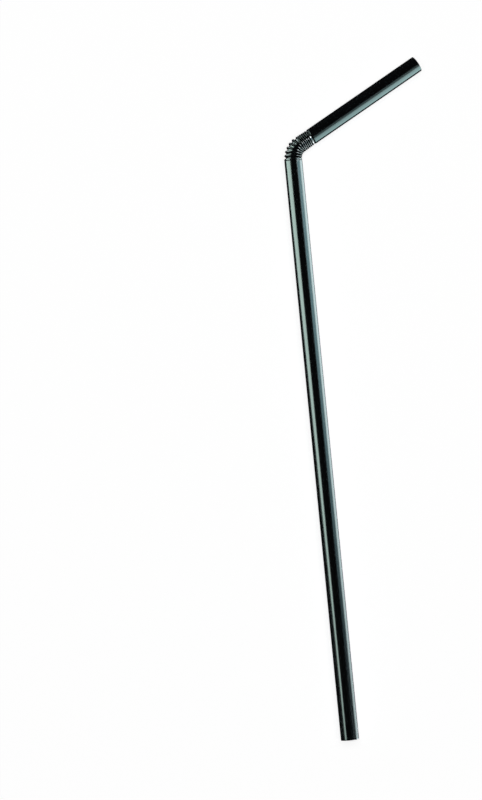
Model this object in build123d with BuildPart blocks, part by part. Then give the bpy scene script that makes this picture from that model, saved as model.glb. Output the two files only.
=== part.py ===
"""A flexible drinking straw, lying as it comes to rest.

It is one thin plastic tube in one piece: a long tube, a bellows that holds its bend, and a short arm
to drink from. The long tube runs along +Y, the short arm turns away from it towards +X, and the whole
straw lies on the plane Z = 0, with the middle of its outline over the origin.
"""
import os
from itertools import accumulate, pairwise
from math import cos, radians, sin

from build123d import *

# Driving dimensions, in millimetres and degrees
long_diameter = 5.0
short_diameter = 4.6
wall = 0.18
long_length = 160.65
short_length = 36.3
bend_angle = 60.4

# Bellows: the folds beside the long tube are bent open, each a little more than the one before, and those
# beside the short arm stay nested
bent_folds = 6
turn_growth_share = 0.34
nested_folds = 5
nested_pitch = 0.55
fold_depth = 0.7
fold_wall = 0.1
lip_width = 0.2
collar_length = 0.5

# Neck: the last crest opens towards the arm, with one groove before the arm's own wall
neck_length = 0.8
groove_depth = 0.3
groove_share = 0.55

# Creases, where the wall doubles back under a crest or behind a root: how deep they lie, and how far they
# lean over with the fold
crease_depth = 0.15
crease_lean_share = 0.2

# Sizes that follow from these
long_radius = long_diameter / 2
short_radius = short_diameter / 2
half_fold_wall = fold_wall / 2
half_lip = lip_width / 2
fold_count = bent_folds + nested_folds
fold_turn = bend_angle / bent_folds
fold_throw = (long_radius - fold_depth) * sin(radians(fold_turn))
sleeve_height = nested_pitch + fold_throw
radius_step = (long_radius - short_radius) / fold_count

# Turn of each bent fold, growing evenly about the middle one
middle_fold = (bent_folds - 1) / 2
turn_shares = [1 + turn_growth_share * (fold / middle_fold - 1) for fold in range(bent_folds)]
fold_turns = [fold_turn * share for share in turn_shares]

# Centre line: up the long tube, round the bent folds about their own centres, and out along the arm
bend_directions = [radians(turn) for turn in accumulate(fold_turns)]
arm_direction = radians(bend_angle)
arm_run = nested_folds * nested_pitch + neck_length + short_length
mouth_x = sleeve_height * sum(map(sin, bend_directions)) + arm_run * sin(arm_direction)
mouth_y = sleeve_height * sum(map(cos, bend_directions)) + arm_run * cos(arm_direction)

# The foot is placed so that the straw's outline, from the long tube to the mouth's far edges, is centred
outline_width = long_radius + mouth_x + short_radius * cos(arm_direction)
outline_length = long_length + collar_length + mouth_y + short_radius * sin(arm_direction)
foot_place = (long_radius - outline_width / 2, -outline_length / 2, long_radius)
foot = Plane(origin=foot_place, x_dir=(0, 0, -1), z_dir=(0, 1, 0))
shoulder = foot.offset(long_length)


def folded(crest, fold, share):
    """The plane of a fold's crest after a share of its fold: tipped if it is bent, pushed back if nested."""
    if fold < bent_folds:
        return crest.rotated((0, 0, -fold_turns[fold] * share))
    return crest.offset(-fold_throw * share)


# Fold lines: circles round the tube on its outer and inner skins, from the long tube to the neck.
# Each fold is a shallow cone from a crest in to a root, then a steep sleeve out to the next crest.
# A nested fold's shallow cone points back inside the fold before it. A bent fold's tips about its own
# centre, so that it is turned out on the outside of the bend and still tucked in on the inside.
outer_rings = [(shoulder, long_radius)]
inner_rings = [(shoulder, long_radius - wall)]
crest = shoulder.offset(collar_length)
for fold in range(fold_count):
    crest_radius = long_radius - radius_step * fold
    root_radius = crest_radius - fold_depth
    root = folded(crest, fold, 1)
    under_crest = folded(crest, fold, crease_lean_share).offset(-fold_wall)
    behind_root = folded(crest, fold, 1 - crease_lean_share).offset(fold_wall)
    outer_rings.append((crest.offset(-half_lip), crest_radius))
    outer_rings.append((crest.offset(half_lip), crest_radius))
    outer_rings.append((behind_root, root_radius + crease_depth))
    inner_rings.append((under_crest, crest_radius - crease_depth))
    inner_rings.append((root.offset(-half_fold_wall), root_radius))
    inner_rings.append((root.offset(half_fold_wall), root_radius))
    crest = root.offset(sleeve_height)

# The last crest, and the groove behind it
groove = crest.offset(neck_length * groove_share)
groove_radius = short_radius - groove_depth
neck = crest.offset(neck_length)
outer_rings.append((crest.offset(-half_lip), short_radius))
outer_rings.append((crest.offset(half_lip), short_radius))
outer_rings.append((groove, groove_radius))
outer_rings.append((neck, short_radius))
inner_rings.append((crest, short_radius - crease_depth))
inner_rings.append((groove, groove_radius - crease_depth))
inner_rings.append((neck, short_radius - wall))


def fold_line(ring):
    """The circle of one fold line."""
    plane, radius = ring
    return Edge.make_circle(radius, plane)


def bands(rings):
    """Ruled faces through a run of fold lines, each from one line to the next."""
    lines = [fold_line(ring) for ring in rings]
    return [Face.make_surface_from_curves(here, there) for here, there in pairwise(lines)]


def end_ring(outer, inner):
    """The flat ring of wall between an outer and an inner fold line in one plane."""
    return Face(Wire(fold_line(outer)), [Wire(fold_line(inner))])


# Bellows: bands through the outer and the inner fold lines, closed by a flat ring at each end
near_end = end_ring(outer_rings[0], inner_rings[0])
far_end = end_ring(outer_rings[-1], inner_rings[-1])
bellows = Solid(Shell([*bands(outer_rings), *bands(inner_rings), near_end, far_end]))

with BuildPart() as straw:
    add(bellows)

    # Long tube, cut square at the foot
    with BuildSketch(foot):
        Circle(long_radius)
        Circle(long_radius - wall, mode=Mode.SUBTRACT)
    extrude(amount=long_length)

    # Short arm, cut square at the mouth
    with BuildSketch(neck):
        Circle(short_radius)
        Circle(short_radius - wall, mode=Mode.SUBTRACT)
    extrude(amount=short_length)

os.makedirs("parts", exist_ok=True)
straw.part.label = "straw"
export_step(straw.part, "parts/straw.step")
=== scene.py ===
"""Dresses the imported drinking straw: its skin with rounded folds, its plastic, light and camera."""
from math import cos, radians, sin, tau
from typing import NamedTuple

import bpy
import numpy as np
from mathutils import Matrix, Vector


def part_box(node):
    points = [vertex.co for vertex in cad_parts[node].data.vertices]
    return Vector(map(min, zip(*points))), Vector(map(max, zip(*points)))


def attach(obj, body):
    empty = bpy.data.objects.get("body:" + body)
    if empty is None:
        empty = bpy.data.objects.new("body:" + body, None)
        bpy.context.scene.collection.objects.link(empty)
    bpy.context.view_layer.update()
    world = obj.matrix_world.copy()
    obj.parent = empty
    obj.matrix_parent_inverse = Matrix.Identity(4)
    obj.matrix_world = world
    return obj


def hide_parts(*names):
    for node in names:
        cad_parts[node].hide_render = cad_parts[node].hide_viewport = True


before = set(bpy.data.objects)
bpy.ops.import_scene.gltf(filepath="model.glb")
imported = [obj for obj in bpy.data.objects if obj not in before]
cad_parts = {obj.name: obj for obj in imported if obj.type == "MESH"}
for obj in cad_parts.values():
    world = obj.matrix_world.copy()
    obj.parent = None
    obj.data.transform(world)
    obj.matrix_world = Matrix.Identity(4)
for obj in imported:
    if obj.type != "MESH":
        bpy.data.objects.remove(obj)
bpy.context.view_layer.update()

MM = 0.001

# The straw's sizes, in millimetres and degrees, as in the part's source
LONG_RADIUS = 2.5
SHORT_RADIUS = 2.3
WALL = 0.18
LONG_LENGTH = 160.65
SHORT_LENGTH = 36.3
BEND_ANGLE = 60.4
BENT_FOLDS = 6
TURN_GROWTH_SHARE = 0.34
NESTED_FOLDS = 5
NESTED_PITCH = 0.55
FOLD_DEPTH = 0.7
FOLD_WALL = 0.1
COLLAR_LENGTH = 0.5
NECK_LENGTH = 0.8
GROOVE_DEPTH = 0.3
GROOVE_SHARE = 0.55
CREASE_DEPTH = 0.15
CREASE_LEAN_SHARE = 0.2

# Sizes that follow from these
FOLD_COUNT = BENT_FOLDS + NESTED_FOLDS
FOLD_TURN = radians(BEND_ANGLE / BENT_FOLDS)
MIDDLE_FOLD = (BENT_FOLDS - 1) / 2
TURN_SHARES = [1 + TURN_GROWTH_SHARE * (fold / MIDDLE_FOLD - 1) for fold in range(BENT_FOLDS)]
FOLD_TURNS = [FOLD_TURN * share for share in TURN_SHARES]
FOLD_THROW = (LONG_RADIUS - FOLD_DEPTH) * sin(FOLD_TURN)
SLEEVE_HEIGHT = NESTED_PITCH + FOLD_THROW
RADIUS_STEP = (LONG_RADIUS - SHORT_RADIUS) / FOLD_COUNT

# Groove at the long tube's rim
RIM_WIDTH = 0.26
RIM_SLOPE = 0.09
RIM_DEPTH = 0.14

# Crests: half their width, the steep side before each one, the low facet behind it, and how pale they
# are drawn, partly stress whitening and partly a painted highlight
CREST_HALF = 0.04
STEEP_LENGTH = 0.28
STEEP_DROP = 0.37
FACET_LENGTH = 0.21
FACET_DROP = 0.076
FACET_LEAN_SHARE = 0.25
NECK_FACET_LENGTH = 0.36
NECK_FACET_DROP = 0.19
# How pale the crests and facets are drawn: partly stress whitening, partly a painted highlight
CREST_WHITENING_AND_SHEEN = 1.0

# Roundings: how far from its corner each one starts, and its largest share of the way to the next
LIP_ROUND = 0.05
CUT_ROUND = 0.06
CREASE_ROUND = 0.1
ROOT_ROUND = 0.15
VALLEY_ROUND = 0.5
LARGEST_ROUND_SHARE = 0.45
ROUND_STEPS = 6

# Points round each ring, and the distance from a rounded end to the ring that keeps the tube even
SEGMENTS = 128
ANGLES = np.arange(SEGMENTS) * tau / SEGMENTS
SUPPORT_GAP = 0.5

# The foot's centre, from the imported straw's box
LOW_CORNER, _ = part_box("straw")
FOOT = np.array(LOW_CORNER) / MM + np.array([LONG_RADIUS, 0.0, LONG_RADIUS])


class Station:
    """A place on the centre line: its centre, its turn from the long tube, and how far along."""

    def __init__(self, centre, turn, along):
        self.centre = centre
        self.turn = turn
        self.along = along

    def moved(self, length):
        step = np.array([sin(self.turn), cos(self.turn), 0.0]) * length
        return Station(self.centre + step, self.turn, self.along + length)

    def tipped(self, angle):
        return Station(self.centre, self.turn + angle, self.along)

    def circle(self, radius):
        side = np.array([cos(self.turn), -sin(self.turn), 0.0])
        up = np.array([0.0, 0.0, 1.0])
        spokes = np.outer(np.cos(ANGLES), side) + np.outer(np.sin(ANGLES), up)
        return self.centre + radius * spokes


class Ring(NamedTuple):
    """A circle round one skin, with how far its corner is rounded and how much paler it is drawn,
    partly stress whitening and partly a painted highlight.
    """

    station: Station
    radius: float
    rounding: float = 0.0
    whitening_and_sheen: float = 0.0


def folded(crest, fold, share):
    """A crest after a share of its fold: tipped over if it is bent, pushed back if it is nested."""
    if fold < BENT_FOLDS:
        return crest.tipped(FOLD_TURNS[fold] * share)
    return crest.moved(-FOLD_THROW * share)


def long_tube(foot, shoulder, radius):
    """One skin of the long tube, from its cut foot to just short of its shoulder."""
    return [
        Ring(foot, radius, CUT_ROUND),
        Ring(foot.moved(SUPPORT_GAP), radius),
        Ring(shoulder.moved(-SUPPORT_GAP), radius),
    ]


def rim_groove(shoulder):
    """The groove at the long tube's rim."""
    floor_radius = LONG_RADIUS - RIM_DEPTH
    return [
        Ring(shoulder, LONG_RADIUS, LIP_ROUND),
        Ring(shoulder.moved(RIM_SLOPE), floor_radius, LIP_ROUND),
        Ring(shoulder.moved(RIM_WIDTH - RIM_SLOPE), floor_radius, LIP_ROUND),
        Ring(shoulder.moved(RIM_WIDTH), LONG_RADIUS, LIP_ROUND),
    ]


def steep_foot(crest, radius):
    """The outer and the inner ring at the foot of the steep side before a crest."""
    place = crest.moved(-CREST_HALF - STEEP_LENGTH)
    foot_radius = radius - STEEP_DROP
    return Ring(place, foot_radius, CREASE_ROUND), Ring(place, foot_radius - FOLD_WALL)


def crest_edges(crest, radius):
    """The two edges of a crest, drawn paler: partly stress whitening, partly a painted highlight."""
    return [Ring(crest.moved(side * CREST_HALF), radius, LIP_ROUND, CREST_WHITENING_AND_SHEEN) for side in (-1, 1)]


def neck_and_arm(crest, radius, groove_radius):
    """One skin past the last crest: the neck's groove, then the short arm to its cut mouth."""
    neck = crest.moved(NECK_LENGTH)
    mouth = neck.moved(SHORT_LENGTH)
    groove_end = neck.moved(-STEEP_LENGTH * GROOVE_DEPTH / STEEP_DROP)
    return [
        Ring(crest.moved(NECK_LENGTH * GROOVE_SHARE), groove_radius, LIP_ROUND),
        Ring(groove_end, groove_radius, LIP_ROUND),
        Ring(neck, radius, LIP_ROUND),
        Ring(neck.moved(SUPPORT_GAP), radius),
        Ring(mouth.moved(-SUPPORT_GAP), radius),
        Ring(mouth, radius, CUT_ROUND),
    ]


def skins():
    """The outer and the inner skin, as rings from foot to mouth."""
    foot = Station(FOOT, 0.0, 0.0)
    shoulder = foot.moved(LONG_LENGTH)
    bore_radius = LONG_RADIUS - WALL
    outer = [*long_tube(foot, shoulder, LONG_RADIUS), *rim_groove(shoulder)]
    inner = [*long_tube(foot, shoulder, bore_radius), Ring(shoulder, bore_radius, CREASE_ROUND)]

    # Each fold: its crest, in to its root, and out to the next crest. The first crest ends the
    # collar, so it has no steep side before it.
    crest = shoulder.moved(COLLAR_LENGTH)
    for fold in range(FOLD_COUNT):
        crest_radius = LONG_RADIUS - RADIUS_STEP * fold
        root_radius = crest_radius - FOLD_DEPTH
        root = folded(crest, fold, 1.0)
        behind_root = folded(crest, fold, 1.0 - CREASE_LEAN_SHARE).moved(FOLD_WALL)
        facet = folded(crest, fold, FACET_LEAN_SHARE).moved(CREST_HALF + FACET_LENGTH)
        if fold == 0:
            under_crest = folded(crest, fold, CREASE_LEAN_SHARE).moved(-FOLD_WALL)
        else:
            under_crest = crest
            outer_foot, inner_foot = steep_foot(crest, crest_radius)
            outer.append(outer_foot)
            inner.append(inner_foot)
        outer += [
            *crest_edges(crest, crest_radius),
            Ring(facet, crest_radius - FACET_DROP, CREASE_ROUND, CREST_WHITENING_AND_SHEEN),
            Ring(behind_root, root_radius + CREASE_DEPTH, VALLEY_ROUND),
        ]
        inner += [
            Ring(under_crest, crest_radius - CREASE_DEPTH, CREASE_ROUND),
            Ring(root, root_radius, ROOT_ROUND),
        ]
        crest = root.moved(SLEEVE_HEIGHT)

    # The last crest, then the neck and the arm
    outer_foot, inner_foot = steep_foot(crest, SHORT_RADIUS)
    facet = crest.moved(CREST_HALF + NECK_FACET_LENGTH)
    groove_radius = SHORT_RADIUS - GROOVE_DEPTH
    outer += [
        outer_foot,
        *crest_edges(crest, SHORT_RADIUS),
        Ring(facet, SHORT_RADIUS - NECK_FACET_DROP, LIP_ROUND),
        *neck_and_arm(crest, SHORT_RADIUS, groove_radius),
    ]
    inner += [
        inner_foot,
        Ring(crest, SHORT_RADIUS - CREASE_DEPTH, ROOT_ROUND),
        *neck_and_arm(crest, SHORT_RADIUS - WALL, groove_radius - CREASE_DEPTH),
    ]
    return outer, inner


def rounded(rings):
    """Rows of points for a closed run of rings with rounded corners, each row with its ring."""
    circles = [ring.station.circle(ring.radius) for ring in rings]
    rows = []
    for i, ring in enumerate(rings):
        here, back, ahead = circles[i], circles[i - 1], circles[(i + 1) % len(rings)]
        if not ring.rounding:
            rows.append((here, ring))
            continue
        ends = []
        for other in (back, ahead):
            length = np.linalg.norm(other - here, axis=1, keepdims=True)
            share = np.minimum(ring.rounding / length, LARGEST_ROUND_SHARE)
            ends.append(here + (other - here) * share)
        start, end = ends
        for t in np.linspace(0.0, 1.0, ROUND_STEPS + 1):
            bend = (1 - t) ** 2 * start + 2 * t * (1 - t) * here + t**2 * end
            rows.append((bend, ring))
    return rows


def faces_between(row_count, column_count, closed):
    """Faces between rings of points, one ring a row; closed joins the last row to the first."""
    row = np.arange(row_count)[:, None] * column_count
    next_row = np.roll(row, -1, axis=0)
    column = np.arange(column_count)[None, :]
    next_column = np.roll(column, -1, axis=1)
    corners = (row + column, row + next_column, next_row + next_column, next_row + column)
    faces = np.stack(corners, axis=-1)
    if not closed:
        faces = faces[:-1]
    return faces.reshape(-1, len(corners))


def straw_mesh():
    """One closed skin: up the outside from foot to mouth and back down the inside."""
    outer, inner = skins()
    rows = rounded(outer + inner[::-1])
    points = np.concatenate([row_points for row_points, _ in rows]) * MM
    faces = faces_between(len(rows), SEGMENTS, closed=True)
    mesh = bpy.data.meshes.new("straw_skin")
    mesh.from_pydata(points.tolist(), [], faces.tolist())
    mesh.polygons.foreach_set("use_smooth", np.ones(len(faces), bool))

    # Each point's place on the tube as if it were straight, and how pale it is drawn (partly stress
    # whitening, partly a painted highlight), for the plastic
    place = np.zeros((len(rows), SEGMENTS, 3), np.float32)
    place[:, :, 0] = np.cos(ANGLES) * LONG_RADIUS
    place[:, :, 1] = np.sin(ANGLES) * LONG_RADIUS
    place[:, :, 2] = np.array([ring.station.along for _, ring in rows])[:, None]
    tube_place = mesh.attributes.new("tube_place", "FLOAT_VECTOR", "POINT")
    tube_place.data.foreach_set("vector", place.ravel())
    whitening_and_sheen = np.repeat(np.array([ring.whitening_and_sheen for _, ring in rows], np.float32), SEGMENTS)
    mesh.attributes.new("crest_whitening_and_sheen", "FLOAT", "POINT").data.foreach_set("value", whitening_and_sheen)
    mesh.update()
    return mesh


# The plastic: its colours, its gloss, and the noise that draws its lines and its grain. The lines'
# depth is in metres.
BLACK = (0.006, 0.007, 0.008, 1.0)
SOFT_BLACK = (0.010, 0.011, 0.012, 1.0)
# Paler black of the crests and facets: partly stress whitening, partly a painted highlight
WHITENED_SHEEN_BLACK = (0.015, 0.016, 0.017, 1.0)
PLASTIC_IOR = 1.49
SMOOTHEST, ROUGHEST = 0.11, 0.19
NOISE_LOW, NOISE_HIGH = 0.3, 0.7
LINE_STRETCH = 0.03
LINE_SCALE = 2.2
LINE_DETAIL = 4.0
LINE_ROUGHNESS = 0.6
LINE_DEPTH = 4e-6
GRAIN_SCALE = 14.0
GRAIN_DETAIL = 3.0

# The sockets of a Mix node that carry colours
MIX_FIRST, MIX_SECOND, MIX_RESULT = 6, 7, 2


def feed(tree, socket, value):
    """Sets a socket, or links it where the value is another node's output."""
    if isinstance(value, bpy.types.NodeSocket):
        tree.links.new(value, socket)
    else:
        socket.default_value = value


def node(tree, kind, **inputs):
    """A shader node with its inputs fed."""
    made = tree.nodes.new(kind)
    for name, value in inputs.items():
        feed(tree, made.inputs[name.replace("_", " ")], value)
    return made


def attribute(tree, name):
    """A node that reads one of the mesh's attributes."""
    made = tree.nodes.new("ShaderNodeAttribute")
    made.attribute_name = name
    return made


def spread(tree, noise, low, high):
    """A noise's middle range spread from low to high."""
    made = node(tree, "ShaderNodeMapRange", Value=noise, From_Min=NOISE_LOW, From_Max=NOISE_HIGH)
    feed(tree, made.inputs["To Min"], low)
    feed(tree, made.inputs["To Max"], high)
    return made.outputs[0]


def mixed(tree, share, first, second):
    """Two colours mixed."""
    made = tree.nodes.new("ShaderNodeMix")
    made.data_type = "RGBA"
    feed(tree, made.inputs["Factor"], share)
    feed(tree, made.inputs[MIX_FIRST], first)
    feed(tree, made.inputs[MIX_SECOND], second)
    return made.outputs[MIX_RESULT]


def plastic():
    """Glossy black polypropylene: drawn lines along the tube, a fine grain, paler crests and facets
    that are partly stress whitening and partly a painted highlight.
    """
    material = bpy.data.materials.new("black_plastic")
    material.use_nodes = True
    tree = material.node_tree
    place = attribute(tree, "tube_place").outputs["Vector"]
    crest_whitening_and_sheen = attribute(tree, "crest_whitening_and_sheen").outputs["Fac"]

    drawn = node(tree, "ShaderNodeMapping", Vector=place, Scale=(1.0, 1.0, LINE_STRETCH))
    lines = node(tree, "ShaderNodeTexNoise", Vector=drawn.outputs[0], Scale=LINE_SCALE)
    feed(tree, lines.inputs["Detail"], LINE_DETAIL)
    feed(tree, lines.inputs["Roughness"], LINE_ROUGHNESS)
    grain = node(tree, "ShaderNodeTexNoise", Vector=place, Scale=GRAIN_SCALE, Detail=GRAIN_DETAIL)
    height = lines.outputs[0]
    relief = node(tree, "ShaderNodeBump", Height=height, Strength=1.0, Distance=LINE_DEPTH)
    body = mixed(tree, spread(tree, height, 0.0, 1.0), BLACK, SOFT_BLACK)

    shader = tree.nodes["Principled BSDF"]
    # The crests and facets are mixed towards a paler black: partly stress whitening, partly a painted
    # highlight
    feed(tree, shader.inputs["Base Color"], mixed(tree, crest_whitening_and_sheen, body, WHITENED_SHEEN_BLACK))
    feed(tree, shader.inputs["Roughness"], spread(tree, grain.outputs[0], SMOOTHEST, ROUGHEST))
    feed(tree, shader.inputs["Normal"], relief.outputs[0])
    feed(tree, shader.inputs["IOR"], PLASTIC_IOR)
    return material


def placed(name, data):
    """A new object in the scene."""
    made = bpy.data.objects.new(name, data)
    bpy.context.scene.collection.objects.link(made)
    return made


# The straw
straw = placed("straw_skin", straw_mesh())
straw.data.materials.append(plastic())
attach(straw, "root")
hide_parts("straw")

# Camera, looking down on the straw as it lies
IMAGE_HEIGHT = 800
FOCAL_PIXELS = 2330.24
SENSOR = 36.0
CLIP_START = 10 * MM
CAMERA_LEAN_X = radians(-3.668)
CAMERA_LEAN_Y = radians(-3.096)
CAMERA_ROLL = radians(-5.297)
CAMERA_DISTANCE = 643.78 * MM
TARGET_FROM_FOOT = np.array([-20.908, 95.794, 0.0])
CAMERA_TARGET = Vector(FOOT + TARGET_FROM_FOOT) * MM
lean_x, lean_y = sin(CAMERA_LEAN_X), sin(CAMERA_LEAN_Y)
back = Vector((lean_x, lean_y, (1 - lean_x**2 - lean_y**2) ** 0.5))
level = Vector((cos(CAMERA_ROLL), sin(CAMERA_ROLL), 0.0))
across = (level - back * level.dot(back)).normalized()
lens = bpy.data.cameras.new("camera")
lens.sensor_width = SENSOR
lens.lens = FOCAL_PIXELS / IMAGE_HEIGHT * SENSOR
lens.clip_start = CLIP_START
camera = placed("camera", lens)
camera.location = CAMERA_TARGET + back * CAMERA_DISTANCE
camera.rotation_euler = Matrix((across, back.cross(across), back)).transposed().to_euler()
bpy.context.scene.camera = camera

# Floor, a lit white table top that the straw's gloss doesn't see
FLOOR_HALF = 12.0
FLOOR_CORNERS = [(-1, -1), (1, -1), (1, 1), (-1, 1)]
TABLE_WHITE = (0.85, 0.85, 0.85, 1.0)
TABLE_GLOW = 0.815
floor_mesh = bpy.data.meshes.new("floor")
floor_points = [(x * FLOOR_HALF, y * FLOOR_HALF, 0.0) for x, y in FLOOR_CORNERS]
floor_mesh.from_pydata(floor_points, [], [(0, 1, 2, 3)])
floor = placed("floor", floor_mesh)
table = bpy.data.materials.new("white_table")
table.use_nodes = True
table_shader = table.node_tree.nodes["Principled BSDF"]
table_shader.inputs["Base Color"].default_value = TABLE_WHITE
table_shader.inputs["Roughness"].default_value = 1.0
table_shader.inputs["Specular IOR Level"].default_value = 0.0
table_shader.inputs["Emission Color"].default_value = (1.0, 1.0, 1.0, 1.0)
table_shader.inputs["Emission Strength"].default_value = TABLE_GLOW
floor_mesh.materials.append(table)
floor.visible_glossy = False


def ramp(value, start, end):
    """Rises smoothly from 0 at start to 1 at end."""
    t = np.clip((value - start) / (end - start), 0.0, 1.0)
    return t * t * (3 - 2 * t)


def band(value, edges):
    """1 inside soft edges and 0 outside them: they are (starts, full, still full, gone)."""
    starts, full, still_full, gone = edges
    return ramp(value, starts, full) * (1 - ramp(value, still_full, gone))


class Softbox(NamedTuple):
    """A soft light: its colour, its edges in azimuth and elevation, and its share of its colour."""

    colour: tuple
    across: tuple
    up: tuple
    share: float = 1.0

    def shine(self, azimuth, elevation):
        return self.share * (band(azimuth, self.across) * band(elevation, self.up))


# Lights of the studio, in degrees: azimuth from +X towards +Y, and elevation from the table top
LOWEST_AZIMUTH = -120

# The one on the left, whose foot is lower towards the bend
LEFT_COLOUR = (9.0, 12.0, 11.0)
LEFT_ACROSS = (150, 162, 176, 208)
LEFT_FOOT = -22
LEFT_FOOT_RISE = 47
LEFT_FOOT_RISES = (164, 190)
LEFT_FOOT_BLUR = 5
LEFT_TOP = (35, 46)

# The one beyond the short arm, brighter on one side
ARM_COLOUR = (4.2, 6.4, 6.4)
BEYOND_ARM = Softbox(ARM_COLOUR, (-64, -56, -43, -36), (-36, -14, 22, 56))
BEYOND_ARM_GAIN = 0.35
BEYOND_ARM_GAINS = (-50, -45)

# The one behind the bend, dimmer higher up, seen in the first folds and from the sides
BEHIND_BEND = Softbox((7.0, 8.4, 8.4), (119, 128, 138, 148), (-35, -20, 42, 52))
BEHIND_BEND_LOSS = 0.5
BEHIND_BEND_FADES = (5, 25)

# The plain ones: the white table top on the right, a dim one above it, a dim one high beside the
# arm's, and four bright ones that are seen mostly in the folds and the neck
FOLD_COLOUR = (33.0, 36.0, 37.0)
PLAIN_SOFTBOXES = [
    Softbox((8.0, 10.0, 10.2), (-24, 8, 16, 26), (-62, -8, 1, 10)),
    Softbox((2.6, 4.6, 5.0), (-9, 10, 16, 24), (2, 12, 42, 54)),
    Softbox(ARM_COLOUR, (-43, -38, -30, -24), (46, 52, 62, 70), 0.3),
    Softbox(FOLD_COLOUR, (18, 24, 34, 42), (6, 14, 26, 33)),
    Softbox(FOLD_COLOUR, (15, 21, 32, 40), (26, 33, 44, 54), 0.36),
    Softbox(FOLD_COLOUR, (-40, -35, -18, -13), (-8, 0, 38, 46), 0.36),
    Softbox(FOLD_COLOUR, (-23, -18, -13, -8), (-46, -34, -12, -2), 0.5),
]


def glow(directions):
    """What the studio shows in each direction."""
    elevation = np.degrees(np.arcsin(directions[:, 2]))
    azimuth = np.degrees(np.arctan2(directions[:, 1], directions[:, 0]))
    azimuth = np.where(azimuth < LOWEST_AZIMUTH, azimuth + 360, azimuth)

    left_foot = LEFT_FOOT + LEFT_FOOT_RISE * ramp(azimuth, *LEFT_FOOT_RISES)
    left = band(azimuth, LEFT_ACROSS)
    left *= ramp(elevation - left_foot, -LEFT_FOOT_BLUR, LEFT_FOOT_BLUR)
    left *= 1 - ramp(elevation, *LEFT_TOP)
    beyond_arm = BEYOND_ARM.shine(azimuth, elevation)
    beyond_arm *= 1 + BEYOND_ARM_GAIN * ramp(azimuth, *BEYOND_ARM_GAINS)
    behind_bend = BEHIND_BEND.shine(azimuth, elevation)
    behind_bend *= 1 - BEHIND_BEND_LOSS * ramp(elevation, *BEHIND_BEND_FADES)

    colour = np.outer(left, LEFT_COLOUR)
    colour += np.outer(beyond_arm, BEYOND_ARM.colour)
    colour += np.outer(behind_bend, BEHIND_BEND.colour)
    for softbox in PLAIN_SOFTBOXES:
        colour += np.outer(softbox.shine(azimuth, elevation), softbox.colour)
    return colour


# The studio round the straw, which only its gloss sees
STUDIO_RADIUS = 3.0
STUDIO_COLUMNS = 240
STUDIO_ROWS = 120
latitudes = np.radians(np.linspace(-90, 90, STUDIO_ROWS + 1))
longitudes = np.radians(np.arange(STUDIO_COLUMNS) * 360 / STUDIO_COLUMNS)
lon, lat = np.meshgrid(longitudes, latitudes)
outwards = [np.cos(lat) * np.cos(lon), np.cos(lat) * np.sin(lon), np.sin(lat)]
studio_points = np.stack(outwards, axis=-1).reshape(-1, 3)
studio_faces = faces_between(len(latitudes), STUDIO_COLUMNS, closed=False)
studio_mesh = bpy.data.meshes.new("studio")
studio_mesh.from_pydata((studio_points * STUDIO_RADIUS).tolist(), [], studio_faces.tolist())
rgba = np.ones((len(studio_points), 4), np.float32)
rgba[:, :3] = glow(studio_points)
shown = studio_mesh.attributes.new("glow", "FLOAT_COLOR", "POINT")
shown.data.foreach_set("color", rgba.ravel())
light = bpy.data.materials.new("studio_light")
light.use_nodes = True
light_tree = light.node_tree
light_tree.nodes.clear()
seen = attribute(light_tree, "glow").outputs["Color"]
emission = node(light_tree, "ShaderNodeEmission", Color=seen)
node(light_tree, "ShaderNodeOutputMaterial", Surface=emission.outputs[0])
light.cycles.emission_sampling = "NONE"
studio_mesh.materials.append(light)
studio = placed("studio", studio_mesh)
studio.visible_camera = False
studio.visible_diffuse = False
studio.visible_transmission = False
studio.visible_volume_scatter = False
studio.visible_shadow = False

# Soft light from above, in metres and watts
OVERHEAD_SIZE = 1.2
OVERHEAD_POWER = 4.0
OVERHEAD_PLACE = (0.0, 0.1, 1.2)
overhead_light = bpy.data.lights.new("overhead", "AREA")
overhead_light.size = OVERHEAD_SIZE
overhead_light.energy = OVERHEAD_POWER
overhead = placed("overhead", overhead_light)
overhead.location = OVERHEAD_PLACE
overhead.visible_glossy = False
overhead.visible_camera = False

# White room behind, which only the camera sees
ROOM_WHITE = (0.97, 0.97, 0.97, 1.0)
world = bpy.data.worlds.new("room")
bpy.context.scene.world = world
world.use_nodes = True
world.node_tree.nodes["Background"].inputs["Color"].default_value = ROOM_WHITE
world.cycles_visibility.diffuse = False
world.cycles_visibility.glossy = False
bpy.context.scene.view_settings.view_transform = "Standard"
